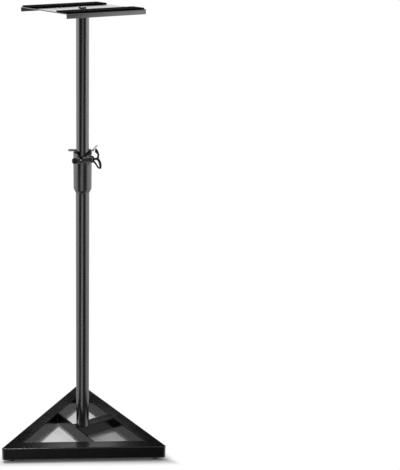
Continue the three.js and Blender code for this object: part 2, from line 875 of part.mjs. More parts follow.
const base = collect(
  new THREE.Group(),
  ...sideBeams(),
  ...tipPlates(),
  centreBeam(),
  crossBar(),
  ...feet(),
);

const clamp = collect(
  new THREE.Group(),
  clampCollar(),
  clampLiner(),
  collarScrew(),
  clampNut(),
  clampBolt(),
  clampWasher(),
  tHandle(),
);
clamp.rotation.z = clampTurn * degree;

const pole = collect(
  new THREE.Group(),
  lowerTube(),
  lowerPlug(),
  baseWasher(),
  baseBolt(),
  clamp,
  lockingPin(),
  pinLoop(),
);

const mast = collect(
  new THREE.Group(),
  upperTube(),
  guideBush(),
  mastPlug(),
  topPlug(),
  plateWasher(),
  topPlate(),
  centreBolt(),
  pad("right_pad", 1),
  pad("left_pad", -1),
);

const stand = collect(new THREE.Group(), base, pole, mast);
stand.position.y = poleY;

export default stand;
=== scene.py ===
"""Finishes and fine detail for a telescoping speaker stand.

Laid out as an add-on and run as a script.
"""

import math

import bmesh
import bpy
from bpy.props import FloatProperty, FloatVectorProperty, IntProperty, PointerProperty
from mathutils import Matrix, Vector


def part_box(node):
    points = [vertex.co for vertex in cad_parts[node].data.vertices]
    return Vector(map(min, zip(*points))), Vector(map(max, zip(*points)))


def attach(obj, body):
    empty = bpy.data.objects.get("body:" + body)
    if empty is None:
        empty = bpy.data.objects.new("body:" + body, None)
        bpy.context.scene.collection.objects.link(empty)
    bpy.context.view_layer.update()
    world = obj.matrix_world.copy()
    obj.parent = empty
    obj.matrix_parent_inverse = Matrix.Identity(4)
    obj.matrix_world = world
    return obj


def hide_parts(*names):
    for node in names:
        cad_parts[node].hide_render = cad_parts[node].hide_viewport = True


bl_info = {
    "name": "Speaker stand",
    "version": (1, 0, 0),
    "blender": (4, 5, 0),
    "location": "3D View > Sidebar > Stand",
    "description": "Dresses the stand's frame with finishes, worked edges, welds and fittings",
    "category": "Object",
}

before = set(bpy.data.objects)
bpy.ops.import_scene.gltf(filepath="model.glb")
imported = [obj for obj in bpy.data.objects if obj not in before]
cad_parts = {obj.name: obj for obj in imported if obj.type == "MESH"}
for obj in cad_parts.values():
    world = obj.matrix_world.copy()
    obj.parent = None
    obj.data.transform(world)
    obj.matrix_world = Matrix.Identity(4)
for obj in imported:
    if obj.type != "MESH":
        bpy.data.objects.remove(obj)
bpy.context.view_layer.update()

MM = 0.001
EDGE_ANGLE = 32  # degrees; edges that turn more than this are sharp
FLAT_ANGLE = 0.6  # degrees; faces that turn less than this are one
MERGE_DISTANCE = 0.002 * MM


def middle(node):
    """Returns the middle of a frame node's box."""
    low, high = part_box(node)
    return (low + high) / 2


POLE = middle("lower_tube").to_2d()
BEAM_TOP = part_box("front_tip")[1].z
BEAM_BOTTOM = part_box("front_tip")[0].z
REAR_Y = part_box("rear_beam")[1].y


# ---------------------------------------------------------------- settings


class StandSizes(bpy.types.PropertyGroup):
    """Sizes of the worked edges and of the detail that is added to the frame."""

    edge_round: FloatProperty(
        name="Sheet edge",
        description="Radius of the broken edge on cut sheet and tube",
        default=0.35 * MM,
        unit="LENGTH",
    )
    moulded_round: FloatProperty(
        name="Moulded edge",
        description="Radius of the edges of moulded plastic pieces",
        default=0.55 * MM,
        unit="LENGTH",
    )
    weld_radius: FloatProperty(
        name="Weld bead",
        description="Radius of the weld beads in the base's inner corners",
        default=2.0 * MM,
        unit="LENGTH",
    )
    weld_pitch: FloatProperty(
        name="Weld ripple",
        description="Distance from one ripple of a weld bead to the next",
        default=1.6 * MM,
        unit="LENGTH",
    )
    foot_groove: FloatProperty(
        name="Foot groove",
        description="Depth of the grooves round the rubber feet",
        default=0.5 * MM,
        unit="LENGTH",
    )
    pad_round: FloatProperty(
        name="Strip edge",
        description="Radius of the anti-slip strips' upper edges",
        default=0.9 * MM,
        unit="LENGTH",
    )
    edge_segments: IntProperty(
        name="Edge segments",
        description="Faces across each rounded edge",
        default=3,
        min=1,
        max=6,
    )


class StandFinishes(bpy.types.PropertyGroup):
    """Colours and roughness of the stand's finishes."""

    base_colour: FloatVectorProperty(
        name="Base paint",
        description="Colour of the smooth paint on the base",
        subtype="COLOR",
        default=(0.003, 0.0031, 0.0034),
        min=0,
        max=1,
    )
    base_roughness: FloatProperty(
        name="Base roughness",
        description="Roughness of the paint on the base",
        default=0.19,
        min=0,
        max=1,
    )
    tube_colour: FloatVectorProperty(
        name="Tube paint",
        description="Colour of the satin paint on the tubes, collar and plate",
        subtype="COLOR",
        default=(0.0055, 0.0056, 0.006),
        min=0,
        max=1,
    )
    tube_roughness: FloatProperty(
        name="Tube roughness",
        description="Roughness of the satin paint",
        default=0.2,
        min=0,
        max=1,
    )
    plastic_colour: FloatVectorProperty(
        name="Black plastic",
        description="Colour of the moulded handle, nut and liner",
        subtype="COLOR",
        default=(0.0035, 0.0035, 0.0038),
        min=0,
        max=1,
    )
    rubber_colour: FloatVectorProperty(
        name="Rubber",
        description="Colour of the feet and the anti-slip strips",
        subtype="COLOR",
        default=(0.0045, 0.0045, 0.0048),
        min=0,
        max=1,
    )
    steel_colour: FloatVectorProperty(
        name="Plated steel",
        description="Colour of the locking pin, its loop and the bolts",
        subtype="COLOR",
        default=(0.56, 0.57, 0.58),
        min=0,
        max=1,
    )
    nylon_colour: FloatVectorProperty(
        name="Nylon",
        description="Colour of the guide bush and the mast's plug",
        subtype="COLOR",
        default=(0.03, 0.03, 0.033),
        min=0,
        max=1,
    )


class StandStudio(bpy.types.PropertyGroup):
    """The floor, the lamps and the light of the room."""

    floor_colour: FloatProperty(
        name="Floor",
        description="Grey value of the pale floor",
        default=0.9,
        min=0,
        max=1,
    )
    key_power: FloatProperty(
        name="Overhead lamp",
        description="Power of the soft lamp high over the stand",
        default=50,
        unit="POWER",
    )
    back_power: FloatProperty(
        name="Back lamp",
        description="Power of the small soft lamp behind the stand",
        default=0.5,
        unit="POWER",
    )
    world_strength: FloatProperty(
        name="Room light",
        description="Strength of the even light from all round",
        default=0.42,
        min=0,
        max=1,
    )
    dark_card: FloatProperty(
        name="Dark side",
        description="Brightness of the room's dark side, behind the camera, as gloss shows it",
        default=0.03,
        min=0,
        max=1,
    )


def sizes():
    return bpy.context.scene.stand_sizes


def finishes():
    return bpy.context.scene.stand_finishes


def studio():
    return bpy.context.scene.stand_studio


# ---------------------------------------------------------------- node helpers


class Nodes:
    """Adds nodes to a node tree and joins them up in few words."""

    def __init__(self, tree):
        self.tree = tree
        self.next_x = -1200  # how the nodes are laid out, left to right

    def add(self, kind, **values):
        node = self.tree.nodes.new(kind)
        node.location = (self.next_x, 0)
        self.next_x += 40
        for key, value in values.items():
            setattr(node, key, value)
        return node

    def link(self, source, target):
        self.tree.links.new(source, target)

    def math(self, operation, first, second=0.0, clamp=False):
        node = self.add("ShaderNodeMath", operation=operation, use_clamp=clamp)
        for socket, value in zip(node.inputs, (first, second)):
            if isinstance(value, (int, float)):
                socket.default_value = value
            else:
                self.link(value, socket)
        return node.outputs[0]

    def ramp(self, value, low, high):
        """Turns a value from low to high into 0 to 1."""
        node = self.add("ShaderNodeMapRange", interpolation_type="SMOOTHSTEP")
        self.link(value, node.inputs["Value"])
        node.inputs["From Min"].default_value = low
        node.inputs["From Max"].default_value = high
        return node.outputs["Result"]

    def scaled(self, value, low, high, first, last):
        """Turns a value from low to high into first to last."""
        node = self.add("ShaderNodeMapRange")
        self.link(value, node.inputs["Value"])
        ends = {"From Min": low, "From Max": high, "To Min": first, "To Max": last}
        for name, number in ends.items():
            node.inputs[name].default_value = number
        return node.outputs["Result"]

    def noise(self, vector, scale, detail=2.0, roughness=0.5):
        node = self.add("ShaderNodeTexNoise")
        self.link(vector, node.inputs["Vector"])
        for name, value in (("Scale", scale), ("Detail", detail), ("Roughness", roughness)):
            if isinstance(value, (int, float)):
                node.inputs[name].default_value = value
            else:
                self.link(value, node.inputs[name])
        return node.outputs["Fac"]

    def mix_colour(self, factor, first, second):
        node = self.add("ShaderNodeMix", data_type="RGBA")
        self.link(factor, node.inputs[0])
        for socket, value in ((node.inputs[6], first), (node.inputs[7], second)):
            if hasattr(value, "is_output"):
                self.link(value, socket)
            else:
                socket.default_value = (*value[:3], 1)
        return node.outputs[2]


def new_group(name, inputs, outputs):
    """Makes an empty shader node group with float or vector inputs and float outputs."""
    group = bpy.data.node_groups.new(name, "ShaderNodeTree")
    for label, kind, default in inputs:
        socket = group.interface.new_socket(label, in_out="INPUT", socket_type=kind)
        if default is not None:
            socket.default_value = default
    for label in outputs:
        group.interface.new_socket(label, in_out="OUTPUT", socket_type="NodeSocketFloat")
    start = group.nodes.new("NodeGroupInput")
    end = group.nodes.new("NodeGroupOutput")
    return group, start, end


def grain_group():
    """Fine grain on a slow swell: a height for bump, and a mask that varies slowly."""
    if "surface_grain" in bpy.data.node_groups:
        return bpy.data.node_groups["surface_grain"]
    group, start, end = new_group(
        "surface_grain",
        [
            ("Place", "NodeSocketVector", None),
            ("Grain per metre", "NodeSocketFloat", 900.0),
            ("Swell per metre", "NodeSocketFloat", 30.0),
            ("Swell share", "NodeSocketFloat", 0.4),
        ],
        ["Height", "Patches"],
    )
    kit = Nodes(group)
    grain = kit.noise(start.outputs["Place"], start.outputs["Grain per metre"], detail=3.0)
    swell = kit.noise(start.outputs["Place"], start.outputs["Swell per metre"], detail=1.0)
    carried = kit.math("MULTIPLY", swell, start.outputs["Swell share"])
    kit.link(kit.math("ADD", grain, carried), end.inputs["Height"])
    kit.link(kit.ramp(swell, low=0.3, high=0.7), end.inputs["Patches"])
    return group


def dust_group():
    """A thin film of dust on faces that look up, broken up by noise."""
    if "settled_dust" in bpy.data.node_groups:
        return bpy.data.node_groups["settled_dust"]
    group, start, end = new_group(
        "settled_dust",
        [
            ("Place", "NodeSocketVector", None),
            ("Normal", "NodeSocketVector", None),
            ("Amount", "NodeSocketFloat", 0.1),
        ],
        ["Mask"],
    )
    kit = Nodes(group)
    split = kit.add("ShaderNodeSeparateXYZ")
    kit.link(start.outputs["Normal"], split.inputs[0])
    upward = kit.ramp(split.outputs["Z"], low=0.55, high=1.0)
    clouds = kit.noise(start.outputs["Place"], scale=60.0, detail=4.0, roughness=0.6)
    grains = kit.noise(start.outputs["Place"], scale=1500.0, detail=2.0)
    patches = kit.ramp(clouds, low=0.35, high=0.75)
    specks = kit.ramp(grains, low=0.6, high=0.72)
    film = kit.math("MULTIPLY", kit.math("ADD", patches, specks), upward)
    kit.link(
        kit.math("MULTIPLY", film, start.outputs["Amount"], clamp=True), end.inputs["Mask"]
    )
    return group


def scuff_group():
    """Sparse fine scratches and rubbed spots that change the gloss."""
    if "light_scuffs" in bpy.data.node_groups:
        return bpy.data.node_groups["light_scuffs"]
    group, start, end = new_group(
        "light_scuffs",
        [("Place", "NodeSocketVector", None), ("Amount", "NodeSocketFloat", 0.3)],
        ["Mask"],
    )
    kit = Nodes(group)
    turned = kit.add("ShaderNodeMapping")
    kit.link(start.outputs["Place"], turned.inputs["Vector"])
    turned.inputs["Rotation"].default_value = (0.4, 0.7, 0.2)
    turned.inputs["Scale"].default_value = (900, 60, 900)
    streaks = kit.noise(turned.outputs["Vector"], scale=1.0, detail=2.0)
    blotches = kit.noise(start.outputs["Place"], scale=90.0, detail=4.0, roughness=0.65)
    lines = kit.ramp(streaks, low=0.66, high=0.74)
    spots = kit.ramp(blotches, low=0.55, high=0.75)
    marks = kit.math("MULTIPLY", lines, spots)
    kit.link(
        kit.math("MULTIPLY", marks, start.outputs["Amount"], clamp=True), end.inputs["Mask"]
    )
    return group


class Finish:
    """A material under way: its Principled shader, object coordinates and groups."""

    def __init__(self, name):
        material = bpy.data.materials.new("stand_" + name)
        material.use_nodes = True
        tree = material.node_tree
        self.kit = Nodes(tree)
        self.shader = tree.nodes["Principled BSDF"]
        place = self.kit.add("ShaderNodeTexCoord")
        self.place = place.outputs["Object"]
        self.geometry = self.kit.add("ShaderNodeNewGeometry")

    def set(self, **values):
        for name, value in values.items():
            socket = self.shader.inputs[name.replace("_", " ")]
            socket.default_value = (*value[:3], 1) if hasattr(value, "__len__") else value

    def group(self, tree, **values):
        node = self.kit.add("ShaderNodeGroup", node_tree=tree)
        for name, value in values.items():
            socket = node.inputs[name.replace("_", " ")]
            if isinstance(value, (int, float)):
                socket.default_value = value
            else:
                self.kit.link(value, socket)
        return node.outputs

    def stretched(self, x, y, z):
        """Object coordinates scaled by axis, for grain that runs one way."""
        node = self.kit.add("ShaderNodeMapping")
        self.kit.link(self.place, node.inputs["Vector"])
        node.inputs["Scale"].default_value = (x, y, z)
        return node.outputs["Vector"]

    def bump(self, height, distance, strength=1.0):
        node = self.kit.add("ShaderNodeBump")
        node.inputs["Strength"].default_value = strength
        node.inputs["Distance"].default_value = distance
        self.kit.link(height, node.inputs["Height"])
        self.kit.link(node.outputs["Normal"], self.shader.inputs["Normal"])

    def roughness(self, mask, low, high):
        node = self.kit.add("ShaderNodeMapRange")
        self.kit.link(mask, node.inputs["Value"])
        node.inputs["To Min"].default_value = low
        node.inputs["To Max"].default_value = high
        self.kit.link(node.outputs["Result"], self.shader.inputs["Roughness"])

    def colour(self, value):
        self.kit.link(value, self.shader.inputs["Base Color"])


def lighter(colour, factor):
    """A colour times a factor, which may also darken it."""
    return tuple(min(1.0, part * factor) for part in colour)


# ---------------------------------------------------------------- finishes


DUST_ON_PAINT = (0.16, 0.155, 0.15)
DUST_ON_MOULDINGS = (0.14, 0.138, 0.134)
DUST_ON_STRIPS = (0.12, 0.118, 0.115)
RUBBED_PAINT = (0.05, 0.05, 0.052)


def painted(name, colour, roughness, grain, grain_depth, gloss, index, dust, scuffs):
    """Paint over steel: fine texture, slow variation, a little dust on top and fine scuffs."""
    finish = Finish(name)
    grained = finish.group(
        grain_group(), Place=finish.place, Grain_per_metre=grain, Swell_per_metre=22.0
    )
    settled = finish.group(
        dust_group(), Place=finish.place, Normal=finish.geometry.outputs["Normal"], Amount=dust
    )
    rubbed = finish.group(scuff_group(), Place=finish.place, Amount=scuffs)
    body = finish.kit.mix_colour(grained["Patches"], lighter(colour, 0.86), lighter(colour, 1.18))
    dusty = finish.kit.mix_colour(settled["Mask"], body, DUST_ON_PAINT)
    finish.colour(finish.kit.mix_colour(rubbed["Mask"], dusty, RUBBED_PAINT))
    marks = finish.kit.math("ADD", grained["Patches"], rubbed["Mask"], clamp=True)
    finish.roughness(marks, low=roughness - 0.02, high=roughness + 0.03)
    finish.bump(grained["Height"], grain_depth, strength=0.25)
    finish.set(Specular_IOR_Level=gloss, IOR=index)


def moulded(name, colour, roughness, grain, grain_depth, dust):
    """Moulded plastic or rubber with an even grain from the tool."""
    finish = Finish(name)
    grained = finish.group(
        grain_group(), Place=finish.place, Grain_per_metre=grain, Swell_share=0.15
    )
    settled = finish.group(
        dust_group(), Place=finish.place, Normal=finish.geometry.outputs["Normal"], Amount=dust
    )
    body = finish.kit.mix_colour(grained["Patches"], lighter(colour, 0.85), lighter(colour, 1.25))
    finish.colour(finish.kit.mix_colour(settled["Mask"], body, DUST_ON_MOULDINGS))
    finish.roughness(grained["Height"], low=roughness - 0.08, high=roughness + 0.08)
    finish.bump(grained["Height"], grain_depth, strength=0.6)
    finish.set(Specular_IOR_Level=0.3)


def plated(name, colour, roughness, along):
    """Zinc-plated steel with fine drawing marks along one axis and clouding."""
    finish = Finish(name)
    finish.set(Metallic=1.0)
    along_marks, across_marks = 70.0, 2600.0  # marks per metre
    scale = [along_marks if axis == along else across_marks for axis in "xyz"]
    marks = finish.kit.noise(finish.stretched(*scale), scale=1.0, detail=3.0)
    clouds = finish.kit.noise(finish.place, scale=160.0, detail=3.0)
    clouds = finish.kit.ramp(clouds, low=0.3, high=0.7)
    yellowing = (0.93, 0.9, 0.8)
    warm = tuple(part * share for part, share in zip(colour, yellowing))
    finish.colour(finish.kit.mix_colour(clouds, colour, warm))
    finish.roughness(clouds, low=roughness - 0.06, high=roughness + 0.08)
    finish.bump(marks, distance=0.03 * MM, strength=0.4)


def studded(name, colour):
    """Anti-slip strip: matt rubber with a fine pebbled skin, with painted shade in the hollows
    between pebbles.
    """
    finish = Finish(name)
    cells = finish.kit.add("ShaderNodeTexVoronoi", feature="SMOOTH_F1")
    finish.kit.link(finish.place, cells.inputs["Vector"])
    cells.inputs["Scale"].default_value = 620.0  # pebbles per metre
    pebble = finish.kit.math("SUBTRACT", 1.0, cells.outputs["Distance"])
    settled = finish.group(
        dust_group(), Place=finish.place, Normal=finish.geometry.outputs["Normal"], Amount=0.012
    )
    # Painted shade: the colour follows the pebbles' height, lighter on their tops and darker in
    # the hollows between them.
    pebble_shaded = finish.kit.mix_colour(pebble, lighter(colour, 0.7), lighter(colour, 1.3))
    finish.colour(finish.kit.mix_colour(settled["Mask"], pebble_shaded, DUST_ON_STRIPS))
    finish.roughness(pebble, low=0.76, high=0.86)
    finish.bump(pebble, distance=0.1 * MM, strength=0.2)
    finish.set(Specular_IOR_Level=0.02)


def make_finishes():
    """Makes every material once."""
    look = finishes()
    painted(
        "base_paint",
        look.base_colour,
        look.base_roughness,
        grain=700.0,
        grain_depth=0.015 * MM,
        gloss=0.5,
        index=1.5,
        dust=0.004,
        scuffs=0.2,
    )
    for name, dullness, index, dust, scuffs in (
        ("tube_paint", 1.0, 1.9, 0.0, 0.15),
        ("collar_paint", 1.4, 1.9, 0.0, 0.15),
        ("plate_paint", 0.6, 1.8, 0.004, 0.2),
    ):
        painted(
            name,
            look.tube_colour,
            dullness * look.tube_roughness,
            grain=1100.0,
            grain_depth=0.01 * MM,
            gloss=1.0,
            index=index,
            dust=dust,
            scuffs=scuffs,
        )
    for name, colour, roughness, grain, grain_depth, dust in (
        ("black_plastic", look.plastic_colour, 0.42, 1500.0, 0.2 * MM, 0.03),
        ("foot_rubber", look.rubber_colour, 0.72, 1200.0, 0.3 * MM, 0.02),
        ("nylon", look.nylon_colour, 0.38, 500.0, 0.1 * MM, 0.0),
    ):
        moulded(name, colour, roughness, grain, grain_depth, dust)
    studded("pad_rubber", look.rubber_colour)
    plated("steel_turned", look.steel_colour, roughness=0.3, along="z")
    plated("steel_drawn", look.steel_colour, roughness=0.26, along="y")


FINISH_OF_NODE = {
    "base_paint": (
        "rear_beam left_beam right_beam centre_beam cross_bar front_tip left_tip right_tip "
        "centre_bolt"
    ),
    "tube_paint": "lower_tube upper_tube plate_washer",
    "collar_paint": "clamp_collar",
    "plate_paint": "top_plate",
    "black_plastic": "clamp_liner clamp_nut t_handle",
    "foot_rubber": "front_foot left_foot right_foot",
    "pad_rubber": "left_pad right_pad",
    "nylon": "guide_bush mast_plug",
    "steel_turned": (
        "front_foot_screw left_foot_screw right_foot_screw lower_plug base_washer base_bolt "
        "collar_screw clamp_bolt clamp_washer top_plug"
    ),
    "steel_drawn": "locking_pin pin_loop",
}


def finish_for(node):
    """The material of a frame node."""
    for finish, nodes in FINISH_OF_NODE.items():
        if node in nodes.split():
            return bpy.data.materials["stand_" + finish]
    raise KeyError(node)


# ---------------------------------------------------------------- modelling helpers


def nothing_selected():
    """Leaves edit mode and deselects everything."""
    if bpy.context.object and bpy.context.object.mode != "OBJECT":
        bpy.ops.object.mode_set(mode="OBJECT")
    bpy.ops.object.select_all(action="DESELECT")


def only(piece):
    """Selects one object and makes it active."""
    nothing_selected()
    piece.select_set(True)
    bpy.context.view_layer.objects.active = piece


def editing(piece):
    """Opens one object in edit mode."""
    only(piece)
    bpy.ops.object.mode_set(mode="EDIT")


def edited(piece):
    """Goes back to object mode."""
    bpy.ops.object.mode_set(mode="OBJECT")
    return piece


def choose(piece, test, mode="VERT"):
    """In edit mode, selects the vertices, edges or faces whose middle passes the test."""
    bpy.ops.mesh.select_mode(type=mode)
    bpy.ops.mesh.select_all(action="DESELECT")
    mesh = bmesh.from_edit_mesh(piece.data)
    parts = {"VERT": mesh.verts, "EDGE": mesh.edges, "FACE": mesh.faces}[mode]
    for part in parts:
        if mode == "VERT":
            point = part.co
        elif mode == "EDGE":
            point = (part.verts[0].co + part.verts[1].co) / 2
        else:
            point = part.calc_center_median()
        part.select = bool(test(point, part))
    mesh.select_flush_mode()
    bmesh.update_edit_mesh(piece.data)


def apply_modifier(piece, kind, **values):
    """Adds one modifier with its values and applies it."""
    only(piece)
    modifier = piece.modifiers.new(kind.lower(), kind)
    for key, value in values.items():
        setattr(modifier, key, value)
    bpy.ops.object.modifier_apply(modifier=modifier.name)


def settle(piece):
    """Moves the object's own place, turn and size into its mesh."""
    only(piece)
    bpy.ops.object.transform_apply(location=True, rotation=True, scale=True)


def smooth(piece, degrees=EDGE_ANGLE):
    """Smooth shading that keeps large faces flat beside small ones."""
    only(piece)
    bpy.ops.object.shade_smooth_by_angle(angle=math.radians(degrees), keep_sharp_edges=False)
    apply_modifier(piece, "WEIGHTED_NORMAL", mode="FACE_AREA", weight=50, keep_sharp=True)


def deliver(piece, name, body, slot, like, *replaced):
    """Names a finished piece, finishes it like a frame node and makes it ride on its body."""
    settle(piece)
    piece.name = name
    piece.data.name = name
    piece.data.materials.clear()
    piece.data.materials.append(finish_for(like))
    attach(piece, body)
    if replaced:
        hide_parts(*replaced)
    return piece


def copy_of(node, name):
    """A merged copy of a frame node's mesh, with its flat faces joined up."""
    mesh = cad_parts[node].data.copy()
    piece = bpy.data.objects.new(name, mesh)
    bpy.context.scene.collection.objects.link(piece)
    editing(piece)
    bpy.ops.mesh.select_all(action="SELECT")
    bpy.ops.mesh.remove_doubles(threshold=MERGE_DISTANCE)
    bpy.ops.mesh.dissolve_limited(angle_limit=math.radians(FLAT_ANGLE))
    return edited(piece)


def eased(node, name, body, slot, radius, segments=None, change=None):
    """Replaces a frame node with its copy, changed if asked and with its sharp edges rounded."""
    piece = copy_of(node, name)
    if change:
        change(piece)
    if radius:
        apply_modifier(
            piece,
            "BEVEL",
            width=radius,
            segments=segments or sizes().edge_segments,
            limit_method="ANGLE",
            angle_limit=math.radians(EDGE_ANGLE),
            use_clamp_overlap=True,
        )
    smooth(piece)
    return deliver(piece, name, body, slot, node, node)


def joined(pieces):
    """Joins several objects into the first."""
    nothing_selected()
    for piece in pieces:
        piece.select_set(True)
    bpy.context.view_layer.objects.active = pieces[0]
    bpy.ops.object.join()
    return bpy.context.object


# ---------------------------------------------------------------- base


def weld_bead(start, end, radius, pitch):
    """A rippled bead from start to end, tapered at both ends."""
    valley, tip = 0.86, 0.5  # shares of the radius
    start, end = Vector(start), Vector(end)
    run = end - start
    rings = max(6, round(run.length / pitch) * 2)
    nothing_selected()
    bpy.ops.mesh.primitive_cylinder_add(
        vertices=10, radius=radius, depth=run.length, end_fill_type="NGON"
    )
    bead = bpy.context.object
    editing(bead)
    choose(bead, lambda p, e: abs(p.z) < 0.1 * run.length, mode="EDGE")
    bpy.ops.mesh.subdivide(number_cuts=rings - 1)
    step = run.length / rings
    choose(bead, lambda p, v: round((p.z + run.length / 2) / step) % 2 == 1)
    bpy.ops.transform.resize(value=(valley, valley, 1))
    for side in (-1, 1):
        choose(bead, lambda p, v: side * p.z > run.length / 2 - 0.4 * step)
        bpy.ops.transform.resize(value=(tip, tip, 1))
    edited(bead)
    bead.rotation_mode = "QUATERNION"
    bead.rotation_quaternion = run.to_track_quat("Z", "Y")
    bead.location = (start + end) / 2
    settle(bead)
    return bead


class STAND_OT_base(bpy.types.Operator):
    """Eases the base's edges and lays the weld beads into its inner corners"""

    bl_idname = "stand.base"
    bl_label = "Base"

    def execute(self, context):
        size = sizes()
        for node in ("cross_bar", "front_tip", "left_tip", "right_tip"):
            eased(node, node + "_eased", "base", "base_paint", size.edge_round)
        for node in ("rear_beam", "left_beam", "right_beam", "centre_beam"):
            eased(node, node + "_eased", "base", "base_paint", 0)
        self.welds(size)
        return {"FINISHED"}

    def welds(self, size):
        """Beads stand in the upright corners where the bars meet."""
        inset = 3.5 * MM  # from the beams' faces to a bead's ends
        low, high = BEAM_BOTTOM + inset, BEAM_TOP - inset
        side_lean = math.radians(30)  # between a side beam and the stand's middle line
        bar_low, bar_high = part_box("cross_bar")
        centre_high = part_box("centre_beam")[1]
        rear_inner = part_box("rear_beam")[0].y
        # How far the beads' middle lines stand off the faces that they join.
        off_side, off_bar, off_centre, off_crossing = 1.6 * MM, 0.4 * MM, 0.3 * MM, 0.6 * MM
        beads = []
        for side in (-1, 1):
            inner = side * (bar_high.x - off_side)
            for y in (bar_low.y - off_bar, bar_high.y + off_bar):
                shift = side * (y - middle("cross_bar").y) * math.tan(side_lean)
                beads.append((inner + shift, y))
            beads.append((side * (centre_high.x + off_centre), rear_inner - off_centre))
            beads.append((side * (centre_high.x + off_centre), bar_high.y + off_crossing))
        made = [
            weld_bead((x, y, low), (x, y, high), size.weld_radius, size.weld_pitch)
            for x, y in beads
        ]
        piece = joined(made)
        smooth(piece, degrees=50)
        deliver(piece, "weld_beads", "base", "base_paint", "rear_beam")


class STAND_OT_feet(bpy.types.Operator):
    """Turns the rubber feet with their grooves, pocket and rounded rim"""

    bl_idname = "stand.feet"
    bl_label = "Feet"

    def execute(self, context):
        for corner in ("front", "left", "right"):
            self.foot(corner)
            eased(
                corner + "_foot_screw",
                corner + "_screw_head",
                "base",
                "steel",
                0.25 * MM,
            )
        return {"FINISHED"}

    def foot(self, corner):
        """A round foot with a pocket, a through hole and two grooves round its wall."""
        node = corner + "_foot"
        low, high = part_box(node)
        radius, height = (high.x - low.x) / 2, high.z - low.z
        centre = middle(node)
        sides = 64
        shank = 2.3 * MM
        pocket, pocket_depth = 4.6 * MM, 3.2 * MM
        bands = 8  # the wall's height is cut into as many
        sole_share = 0.93
        rim_round, rim_angle = 0.3 * MM, 50

        def on_wall(p, share):
            return (p.to_2d() - centre.to_2d()).length > radius * share

        nothing_selected()
        bpy.ops.mesh.primitive_cylinder_add(
            vertices=sides,
            radius=radius,
            depth=height,
            location=centre,
            end_fill_type="NGON",
        )
        foot = bpy.context.object
        settle(foot)
        editing(foot)
        # A pocket for the screw's head, then its hole through to the top.
        choose(foot, lambda p, f: f.normal.z < -0.9, mode="FACE")
        bpy.ops.mesh.inset(thickness=radius - pocket)
        bpy.ops.mesh.extrude_region_move(
            TRANSFORM_OT_translate={"value": (0, 0, pocket_depth)}
        )
        bpy.ops.mesh.inset(thickness=pocket - shank)
        choose(foot, lambda p, f: f.normal.z > 0.9 and p.z > high.z - 0.1 * MM, mode="FACE")
        bpy.ops.mesh.inset(thickness=radius - shank)
        choose(foot, lambda p, f: abs(f.normal.z) > 0.9 and len(f.verts) == sides, mode="FACE")
        bpy.ops.mesh.bridge_edge_loops()
        # The wall gets two grooves.
        choose(
            foot,
            lambda p, e: abs(p.z - centre.z) < 0.5 * MM and on_wall(p, 0.95),
            mode="EDGE",
        )
        bpy.ops.mesh.subdivide(number_cuts=bands - 1)
        step = height / bands
        for ring in (3, 5):
            level = low.z + ring * step
            choose(foot, lambda p, v: abs(p.z - level) < 0.1 * step and on_wall(p, 0.9))
            squeeze = 1 - sizes().foot_groove / radius
            bpy.ops.transform.resize(value=(squeeze, squeeze, 1), center_override=centre)
        choose(foot, lambda p, v: p.z < low.z + 0.1 * step and on_wall(p, 0.9))
        bpy.ops.transform.resize(value=(sole_share, sole_share, 1), center_override=centre)
        edited(foot)
        apply_modifier(
            foot,
            "BEVEL",
            width=rim_round,
            segments=2,
            limit_method="ANGLE",
            angle_limit=math.radians(rim_angle),
        )
        smooth(foot, degrees=40)
        deliver(foot, node + "_turned", "base", "foot_rubber", node, node)


# ---------------------------------------------------------------- pole and clamp


class STAND_OT_pole(bpy.types.Operator):
    """Gives the two tubes and the fittings inside them smooth, eased surfaces"""

    bl_idname = "stand.pole"
    bl_label = "Pole"

    def execute(self, context):
        fittings = (
            ("lower_tube", "lower_tube_smooth", "base", "tube_paint", 0),
            ("upper_tube", "upper_tube_smooth", "mast", "tube_paint", 0),
            ("lower_plug", "lower_plug_smooth", "base", "steel", 0),
            ("base_washer", "base_washer_smooth", "base", "steel", 0.2 * MM),
            ("base_bolt", "base_bolt_smooth", "base", "steel", 0.25 * MM),
            ("guide_bush", "guide_bush_smooth", "guide", "nylon", 0.3 * MM),
            ("mast_plug", "mast_plug_smooth", "mast", "nylon", 0.3 * MM),
            ("top_plug", "top_plug_smooth", "mast", "steel", 0),
            ("plate_washer", "plate_washer_smooth", "mast", "tube_paint", 0.3 * MM),
        )
        for fitting in fittings:
            eased(*fitting)
        return {"FINISHED"}


class STAND_OT_clamp(bpy.types.Operator):
    """Eases the clamp collar, its liner, bolt, nut and handle"""

    bl_idname = "stand.clamp"
    bl_label = "Clamp"

    def execute(self, context):
        size = sizes()
        eased(
            "clamp_collar",
            "collar_eased",
            "base",
            "tube_paint",
            size.edge_round,
            segments=2,
            change=self.press_lugs,
        )
        fittings = (
            ("clamp_liner", "liner_eased", "base", "black_plastic", 0),
            ("collar_screw", "collar_screw_eased", "base", "steel", 0.2 * MM),
            ("clamp_nut", "nut_eased", "base", "black_plastic", size.moulded_round),
            ("clamp_washer", "washer_eased", "handle", "steel", 0.15 * MM),
            ("clamp_bolt", "bolt_eased", "handle", "steel", 0),
            ("t_handle", "handle_eased", "handle", "black_plastic", size.moulded_round),
        )
        for fitting in fittings:
            eased(*fitting)
        return {"FINISHED"}

    def press_lugs(self, collar):
        """Presses the lugs' rounded front back, so that it runs into the collar's wall."""
        turn = math.radians(10)  # brings the bolt's line square to the X axis
        wall_radius, reach = 24.25 * MM, 9 * MM
        pressed = 0.32  # how much of the lugs' height over the wall is left
        collar.rotation_euler.z = turn
        settle(collar)
        pole = POLE.copy()
        pole.rotate(Matrix.Rotation(turn, 2))
        wall = pole.x + wall_radius
        level = middle("clamp_bolt").z
        editing(collar)
        choose(collar, lambda p, v: p.x > wall and abs(p.z - level) < reach)
        bpy.ops.transform.resize(value=(pressed, 1, 1), center_override=(wall, pole.y, level))
        edited(collar)
        collar.rotation_euler.z = -turn
        settle(collar)


